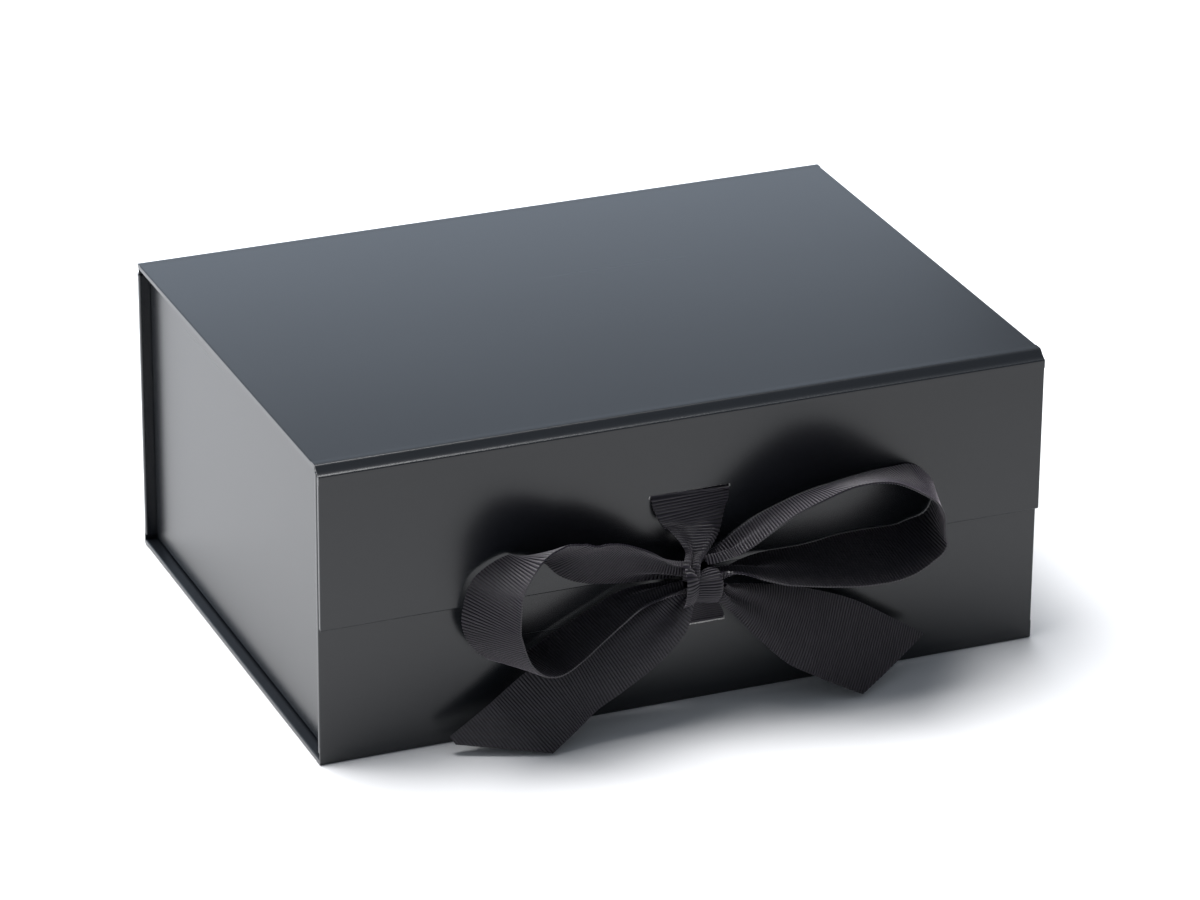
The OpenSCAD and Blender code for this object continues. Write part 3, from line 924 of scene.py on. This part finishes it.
def knot_core():
    """The gathered ribbon inside the knot: a rounded lump with folds running through it."""
    centre = Vector(in_front([KNOT_CENTRE])[0])
    half_x, half_y, half_z = KNOT_HALF
    bm = bmesh.new()
    bmesh.ops.create_uvsphere(bm, u_segments=96, v_segments=40, radius=1.0)
    for vertex in bm.verts:
        x, y, z = vertex.co
        turn = math.atan2(z, y)
        fold = 1 + 0.07 * math.cos(7 * turn + 0.6) + 0.04 * math.cos(12 * turn + 2 * x)
        vertex.co = centre + Vector((half_x * x, half_y * y * fold, half_z * z * fold))
    mesh = bpy.data.meshes.new("bow_knot_core")
    bm.to_mesh(mesh)
    bm.free()
    mesh.polygons.foreach_set("use_smooth", [True] * len(mesh.polygons))
    obj = make_object("bow_knot_core", mesh, "flap", "ribbon", RIBBON)
    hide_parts("knot")


knot_core()


def rim_outlines(end, top, bottom):
    """Inner and outer outline of a slit's cut edge, which is a little ragged outside."""
    rng = np.random.default_rng(7)
    half_w, half_h = SLIT_W / 2, SLIT_H / 2
    corners = [(-1, -1), (1, -1), (1, 1), (-1, 1)]
    inner, outer = [], []
    for i, (start_x, start_z) in enumerate(corners):
        end_x, end_z = corners[(i + 1) % 4]
        count = 60 if start_z == end_z else 6
        for k in range(count):
            t = k / count
            x = start_x + (end_x - start_x) * t
            z = start_z + (end_z - start_z) * t
            ragged = rng.uniform(0.6, 1.2)
            inner.append((x * half_w, z * half_h))
            grow = (top if z > 0 else bottom) * ragged
            outer.append((x * (half_w + end * ragged), z * half_h + math.copysign(grow, z)))
    return inner, outer


def slit_rim(name, body, slit_z, face_y, end, top, bottom):
    """The paper's white core where a slit is cut: a thin frame on the wall's face.

    end, top and bottom give how wide it is beside, over and under the slit.
    """
    inner, outer = rim_outlines(end, top, bottom)
    front, back = face_y - RIM_PROUD, face_y + RIM_DEPTH
    rings = ((outer, front), (inner, front), (inner, back), (outer, back))
    verts = [(x, y, slit_z + z) for outline, y in rings for x, z in outline]
    n = len(inner)
    faces = []
    for ring in range(len(rings)):
        here, there = ring * n, (ring + 1) % len(rings) * n
        for k in range(n):
            following = (k + 1) % n
            faces.append((here + k, here + following, there + following, there + k))
    mesh = bpy.data.meshes.new(name)
    mesh.from_pydata(verts, [], faces)
    face_outward(mesh)
    make_object(name, mesh, body, "board", CORE)


slit_rim("upper_slit_rim", "flap", UPPER_SLIT_Z, FLAP_Y, 0.35 * MM, 0.02 * MM, 0.02 * MM)
slit_rim("lower_slit_rim", "tray", LOWER_SLIT_Z, FRONT_Y, 0.15 * MM, 0.02 * MM, 0.4 * MM)


# ---------------------------------------------------------------- materials of the CAD's own pieces

BY_SLOT = {
    "wrap": WRAP,
    "liner": LINER,
    "board": BOARD,
    "ribbon": RIBBON,
    "magnet": MAGNET,
    "tape": TAPE,
}
for part in frame["record"]["subparts"]:
    node = frame["nodes"][part["node"]]
    node.data.materials.clear()
    node.data.materials.append(BY_SLOT[part["material_slot"]])


# ---------------------------------------------------------------- stage, light and camera


FLOOR_HALF = 6.0
FLOOR_Z = -0.01 * MM
FLOOR_CORNERS = ((-1, -1), (1, -1), (1, 1), (-1, 1))


def floor():
    """A wide plain pale floor, just under the box."""
    mesh = bpy.data.meshes.new("floor")
    corners = [(x * FLOOR_HALF, y * FLOOR_HALF, FLOOR_Z) for x, y in FLOOR_CORNERS]
    mesh.from_pydata(corners, [], [(0, 1, 2, 3)])
    obj = bpy.data.objects.new("floor", mesh)
    bpy.context.scene.collection.objects.link(obj)
    material, shader = new_material("white_sweep")
    place = object_place(material)
    tone = spread(material, noise(material, place, 3.0), 0, 1)
    colour = blend_colours(material, tone, (0.78, 0.78, 0.79), (0.81, 0.81, 0.82))
    material.node_tree.links.new(colour, shader.inputs["Base Color"])
    shader.inputs["Roughness"].default_value = 0.5
    shader.inputs["Specular IOR Level"].default_value = 0.3
    mesh.materials.append(material)


def area_light(name, place, aim, size, watts, colour):
    """A soft rectangular light at a place, turned to a point."""
    data = bpy.data.lights.new(name, "AREA")
    data.shape = "RECTANGLE"
    data.size, data.size_y = size
    data.energy = watts
    data.color = colour
    obj = bpy.data.objects.new(name, data)
    obj.location = place
    obj.rotation_euler = (Vector(aim) - Vector(place)).to_track_quat("-Z", "Y").to_euler()
    bpy.context.scene.collection.objects.link(obj)


def light_scene():
    """Soft light all round, a large softbox overhead, one at the left and a dim one behind."""
    world = bpy.data.worlds.new("studio")
    bpy.context.scene.world = world
    world.use_nodes = True
    background = world.node_tree.nodes["Background"]
    background.inputs["Color"].default_value = (0.82, 0.9, 1, 1)
    background.inputs["Strength"].default_value = 0.3
    area_light("key", (-0.35, 0.43, 1.75), (0, 0, 0.05), (1.4, 1.4), 78, (1, 1, 1))
    area_light("back", (-0.06, 0.5, 0.19), (-0.06, 0, 0.15), (0.9, 0.26), 0.95, (0.72, 0.84, 1))
    area_light("side", (-1.3, 0.35, 0.35), (0, 0, 0.05), (0.8, 0.8), 5.5, (0.97, 0.98, 1))


# Found by fitting the box's corners to the photograph
CAMERA_PLACE = (-0.60612, -1.47209, 0.76916)
CAMERA_FORWARD = (0.34992, 0.84108, -0.41248)
CAMERA_ROLL_DEGREES = 0.462
CAMERA_LENS = 168.7


def camera():
    """The photograph's view: a long lens, to the left of the front and above it."""
    data = bpy.data.cameras.new("camera")
    data.lens = CAMERA_LENS
    data.sensor_width = 36
    data.clip_end = 50
    obj = bpy.data.objects.new("camera", data)
    obj.location = CAMERA_PLACE
    turn = Vector(CAMERA_FORWARD).to_track_quat("-Z", "Y").to_matrix().to_4x4()
    roll = Matrix.Rotation(math.radians(CAMERA_ROLL_DEGREES), 4, "Z")
    obj.matrix_world = Matrix.Translation(obj.location) @ turn @ roll
    bpy.context.scene.collection.objects.link(obj)
    bpy.context.scene.camera = obj


floor()
light_scene()
camera()
bpy.context.scene.view_settings.view_transform = "Standard"
